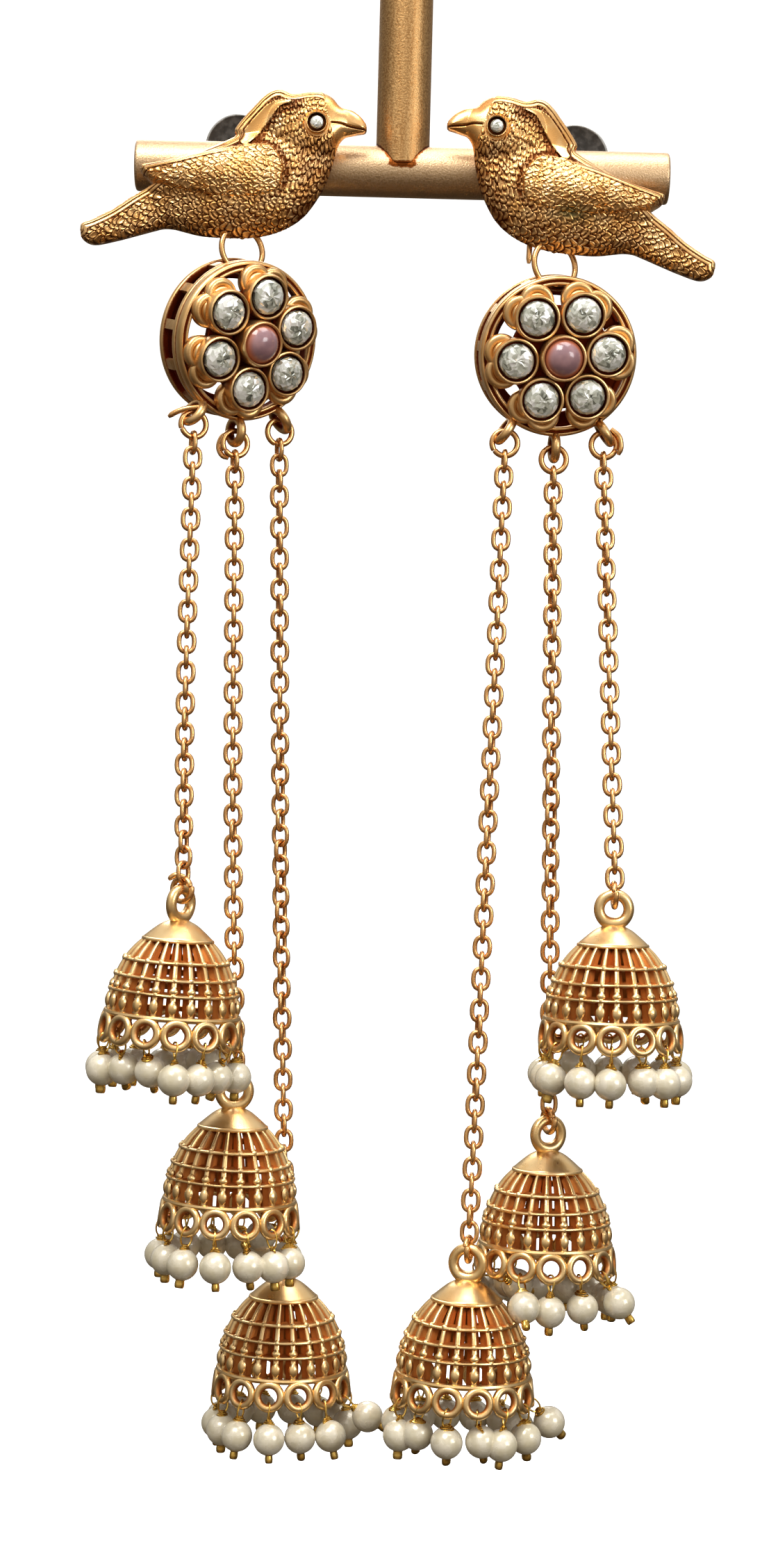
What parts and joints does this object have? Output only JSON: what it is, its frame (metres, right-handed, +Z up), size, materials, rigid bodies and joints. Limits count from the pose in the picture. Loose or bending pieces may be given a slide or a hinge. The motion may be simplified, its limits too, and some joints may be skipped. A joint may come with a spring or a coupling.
{
  "type": "pair of jhumka earrings on a T-bar display stand",
  "caption": "Pair of long jhumka earrings, each a bird, a stone-set flower drum and pierced bells with pearls on chains, hanging on a T-bar stand.",
  "frame": {"origin": "centre of the post's top end face, from which the stand and the earrings on it hang", "axes": "+Z up along the post, +X along the bar to the viewer's right, +Y away from the viewer"},
  "size_m": [0.0818, 0.0355, 0.2016],
  "materials": {
    "bar_gold": "satin champagne plating, bead-blasted",
    "antique_gold": "matte antique gold plating with dark reddish brown recesses and worn bright edges",
    "chain_gold": "polished warm gold plating, darkened between the links",
    "clear_stone": "clear faceted stone over silvery foil",
    "pink_stone": "polished pink-mauve cabochon",
    "dark_clutch": "dull dark grey metal"
  },
  "bodies": {
    "root": {"stand": "bar_gold", "left_bird": "antique_gold", "left_bird_eye": "clear_stone", "left_clutch": "dark_clutch", "left_hanger_ring": "antique_gold", "left_flower": "antique_gold", "left_flower_stone_1": "clear_stone", "left_flower_stone_2": "clear_stone", "left_flower_stone_3": "clear_stone", "left_flower_stone_4": "clear_stone", "left_flower_stone_5": "clear_stone", "left_flower_stone_6": "clear_stone", "left_flower_center_stone": "pink_stone", "left_jump_ring_1": "antique_gold", "left_bell_1": "antique_gold", "left_bell_link_1": "chain_gold", "left_chain_1": "chain_gold", "left_jump_ring_2": "antique_gold", "left_bell_2": "antique_gold", "left_bell_link_2": "chain_gold", "left_chain_2": "chain_gold", "left_jump_ring_3": "antique_gold", "left_bell_3": "antique_gold", "left_bell_link_3": "chain_gold", "left_chain_3": "chain_gold", "right_bird": "antique_gold", "right_bird_eye": "clear_stone", "right_clutch": "dark_clutch", "right_hanger_ring": "antique_gold", "right_flower": "antique_gold", "right_flower_stone_1": "clear_stone", "right_flower_stone_2": "clear_stone", "right_flower_stone_3": "clear_stone", "right_flower_stone_4": "clear_stone", "right_flower_stone_5": "clear_stone", "right_flower_stone_6": "clear_stone", "right_flower_center_stone": "pink_stone", "right_jump_ring_1": "antique_gold", "right_bell_1": "antique_gold", "right_bell_link_1": "chain_gold", "right_chain_1": "chain_gold", "right_jump_ring_2": "antique_gold", "right_bell_2": "antique_gold", "right_bell_link_2": "chain_gold", "right_chain_2": "chain_gold", "right_jump_ring_3": "antique_gold", "right_bell_3": "antique_gold", "right_bell_link_3": "chain_gold", "right_chain_3": "chain_gold"}
  },
  "joints": []
}
